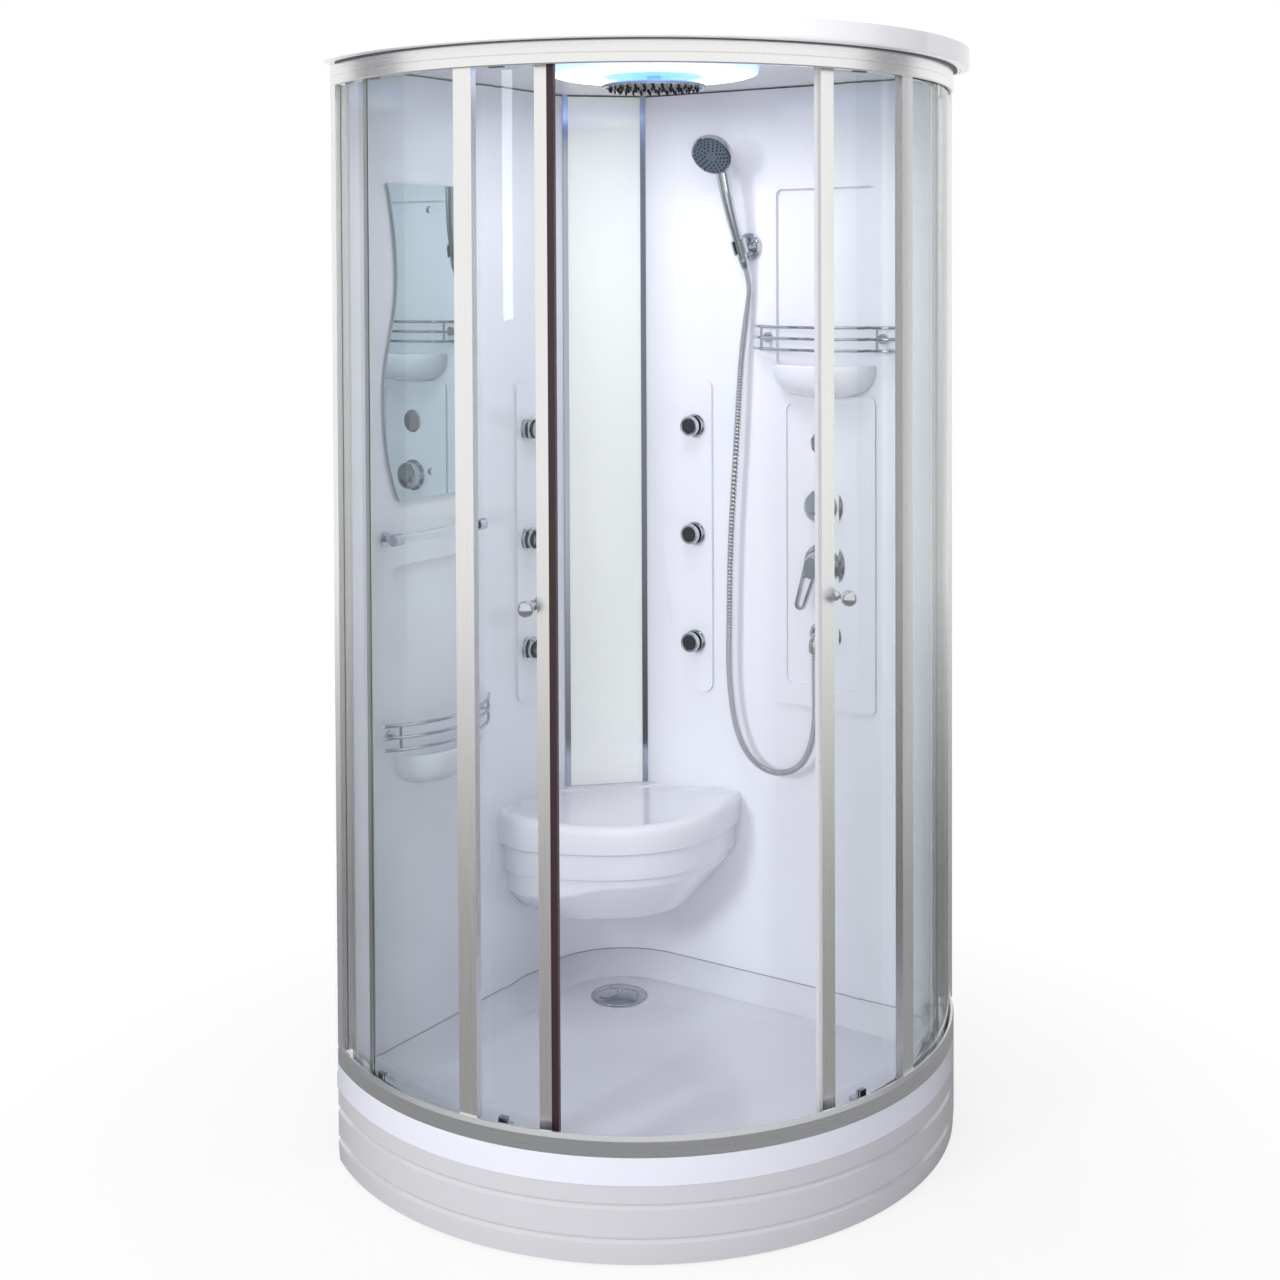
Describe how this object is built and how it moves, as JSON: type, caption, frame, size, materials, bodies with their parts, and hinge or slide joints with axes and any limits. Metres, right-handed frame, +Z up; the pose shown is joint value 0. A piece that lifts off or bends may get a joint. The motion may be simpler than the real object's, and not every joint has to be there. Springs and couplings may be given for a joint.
{
  "type": "shower cabin",
  "caption": "Quarter-round shower cabin with curved sliding glass doors, low tray, corner seat, body jets, overhead and hand shower.",
  "frame": {"origin": "Centre of the cabin's outline on the floor, under its feet.", "axes": "X runs along the wall with the valves, away from the back corner. Y runs from the door side to the wall with the valves. Z is up."},
  "size_m": [1.032, 1.032, 2.15],
  "materials": {
    "white_acrylic": "gloss",
    "wall_acrylic": "gloss",
    "frame_steel": "satin",
    "dark_plastic": "matte",
    "grey_plastic": "satin",
    "chrome": "polished",
    "satin_aluminium": "satin",
    "clear_glass": "clear",
    "frosted_glass": "frosted",
    "clear_acrylic": "clear",
    "lamp_diffuser": "translucent",
    "soft_nozzles": "matte",
    "mirror": "polished",
    "brass": "satin",
    "metal_hose": "polished",
    "dark_seal": "matte",
    "light_seal": "matte",
    "roller_nylon": "matte"
  },
  "bodies": {
    "cabin": {"tray": "white_acrylic", "skirt": "white_acrylic", "tray_frame": "frame_steel", "feet": "dark_plastic", "drain_ring": "chrome", "drain_trap": "grey_plastic", "wall_left": "wall_acrylic", "wall_right": "wall_acrylic", "corner_panel": "frosted_glass", "corner_trims": "satin_aluminium", "corner_seat": "white_acrylic", "roof": "white_acrylic", "lamp_ring": "lamp_diffuser", "overhead_shower": "chrome", "overhead_nozzles": "soft_nozzles", "top_rail": "satin_aluminium", "bottom_rail": "satin_aluminium", "fixed_glass": "clear_glass", "fixed_posts": "satin_aluminium", "wall_profiles": "satin_aluminium", "mirror": "mirror", "mirror_studs": "chrome", "towel_bar": "clear_acrylic", "towel_bar_ends": "chrome", "racks": "chrome", "valve_flanges": "chrome", "hose_outlet": "chrome", "jet_sockets": "chrome", "plumbing": "brass", "holder_bracket": "chrome", "shower_hose": "metal_hose"},
    "mixer_cap": {"mixer_cap": "chrome"},
    "mixer_lever": {"mixer_lever": "chrome"},
    "diverter_knob": {"diverter_knob": "chrome"},
    "drain_cover": {"drain_cover": "chrome"},
    "handset_clip": {"handset_clip": "chrome"},
    "handset": {"handset": "chrome"},
    "spray_dial": {"spray_dial": "grey_plastic"},
    "door_left": {"door_glass_left": "clear_glass", "door_profiles_left": "satin_aluminium", "door_seal_left": "dark_seal", "door_knob_left": "chrome", "door_carriers_left": "chrome"},
    "roller_left_front": {"roller_left_front": "roller_nylon"},
    "roller_left_rear": {"roller_left_rear": "roller_nylon"},
    "door_right": {"door_glass_right": "clear_glass", "door_profiles_right": "satin_aluminium", "door_seal_right": "light_seal", "door_knob_right": "chrome", "door_carriers_right": "chrome"},
    "roller_right_front": {"roller_right_front": "roller_nylon"},
    "roller_right_rear": {"roller_right_rear": "roller_nylon"},
    "jet_left_1": {"jet_left_1": "dark_plastic"},
    "jet_right_1": {"jet_right_1": "dark_plastic"},
    "jet_left_2": {"jet_left_2": "dark_plastic"},
    "jet_right_2": {"jet_right_2": "dark_plastic"},
    "jet_left_3": {"jet_left_3": "dark_plastic"},
    "jet_right_3": {"jet_right_3": "dark_plastic"}
  },
  "joints": [
    {"name": "door_left_slide", "type": "hinge", "parent": "cabin", "child": "door_left", "pos_m": [-0.156, 0.156, 1.15], "axis": [0, 0, 1], "range_deg": [-6.6, 24.85]},
    {"name": "roller_left_front_turn", "type": "hinge", "parent": "door_left", "child": "roller_left_front", "pos_m": [-0.05166, -0.42978, 2.0938], "axis": [0.1754, -0.9845, 0], "range_deg": [-1557.4, 414.4]},
    {"name": "roller_left_rear_turn", "type": "hinge", "parent": "door_left", "child": "roller_left_rear", "pos_m": [-0.3448, -0.40825, 2.0938], "axis": [-0.3173, -0.9483, 0], "range_deg": [-1557.4, 414.4]},
    {"name": "door_right_slide", "type": "hinge", "parent": "cabin", "child": "door_right", "pos_m": [-0.156, 0.156, 1.15], "axis": [0, 0, 1], "range_deg": [-19.75, 11.7]},
    {"name": "roller_right_front_turn", "type": "hinge", "parent": "door_right", "child": "roller_right_front", "pos_m": [0.41818, 0, 2.0938], "axis": [0.965, -0.2622, 0], "range_deg": [-733.8, 1238]},
    {"name": "roller_right_rear_turn", "type": "hinge", "parent": "door_right", "child": "roller_right_rear", "pos_m": [0.4228, 0.29389, 2.0938], "axis": [0.9728, 0.2317, 0], "range_deg": [-733.8, 1238]},
    {"name": "mixer_turn", "type": "hinge", "parent": "cabin", "child": "mixer_cap", "pos_m": [0.096, 0.479, 1.088], "axis": [0, -1, 0], "range_deg": [-30, 60]},
    {"name": "mixer_lift", "type": "hinge", "parent": "mixer_cap", "child": "mixer_lever", "pos_m": [0.096, 0.456, 1.088], "axis": [-0.9511, 0, 0.309], "range_deg": [0, 20]},
    {"name": "diverter_turn", "type": "hinge", "parent": "cabin", "child": "diverter_knob", "pos_m": [0.096, 0.479, 1.213], "axis": [0, -1, 0], "range_deg": [-90, 90]},
    {"name": "drain_cover_lift", "type": "slide", "parent": "cabin", "child": "drain_cover", "axis": [0, 0, 1], "range_m": [0, 0.03]},
    {"name": "clip_swivel", "type": "hinge", "parent": "cabin", "child": "handset_clip", "pos_m": [-0.082, 0.466, 1.769], "axis": [0, -1, 0], "range_deg": [-12, 12], "deforming": ["shower_hose"]},
    {"name": "handset_lift", "type": "slide", "parent": "handset_clip", "child": "handset", "axis": [-0.1273, -0.3066, 0.9433], "range_m": [0, 0.03], "deforming": ["shower_hose"]},
    {"name": "spray_turn", "type": "hinge", "parent": "handset", "child": "spray_dial", "pos_m": [-0.10837, 0.37352, 1.96433], "axis": [0.0784, -0.8105, -0.5804], "range_deg": [-40, 40]},
    {"name": "jet_left_1_swivel", "type": "hinge", "parent": "cabin", "child": "jet_left_1", "pos_m": [-0.477, 0.22, 1.373], "axis": [0, 0, 1], "range_deg": [-14, 14]},
    {"name": "jet_right_1_swivel", "type": "hinge", "parent": "cabin", "child": "jet_right_1", "pos_m": [-0.22, 0.477, 1.373], "axis": [0, 0, 1], "range_deg": [-14, 14]},
    {"name": "jet_left_2_swivel", "type": "hinge", "parent": "cabin", "child": "jet_left_2", "pos_m": [-0.477, 0.22, 1.132], "axis": [0, 0, 1], "range_deg": [-14, 14]},
    {"name": "jet_right_2_swivel", "type": "hinge", "parent": "cabin", "child": "jet_right_2", "pos_m": [-0.22, 0.477, 1.132], "axis": [0, 0, 1], "range_deg": [-14, 14]},
    {"name": "jet_left_3_swivel", "type": "hinge", "parent": "cabin", "child": "jet_left_3", "pos_m": [-0.477, 0.22, 0.891], "axis": [0, 0, 1], "range_deg": [-14, 14]},
    {"name": "jet_right_3_swivel", "type": "hinge", "parent": "cabin", "child": "jet_right_3", "pos_m": [-0.22, 0.477, 0.891], "axis": [0, 0, 1], "range_deg": [-14, 14]}
  ],
  "couplings": [
    {"joint": "roller_left_front_turn", "follows": "door_left_slide", "ratio": -62.632},
    {"joint": "roller_left_rear_turn", "follows": "door_left_slide", "ratio": -62.632},
    {"joint": "roller_right_front_turn", "follows": "door_right_slide", "ratio": -62.632},
    {"joint": "roller_right_rear_turn", "follows": "door_right_slide", "ratio": -62.632}
  ]
}
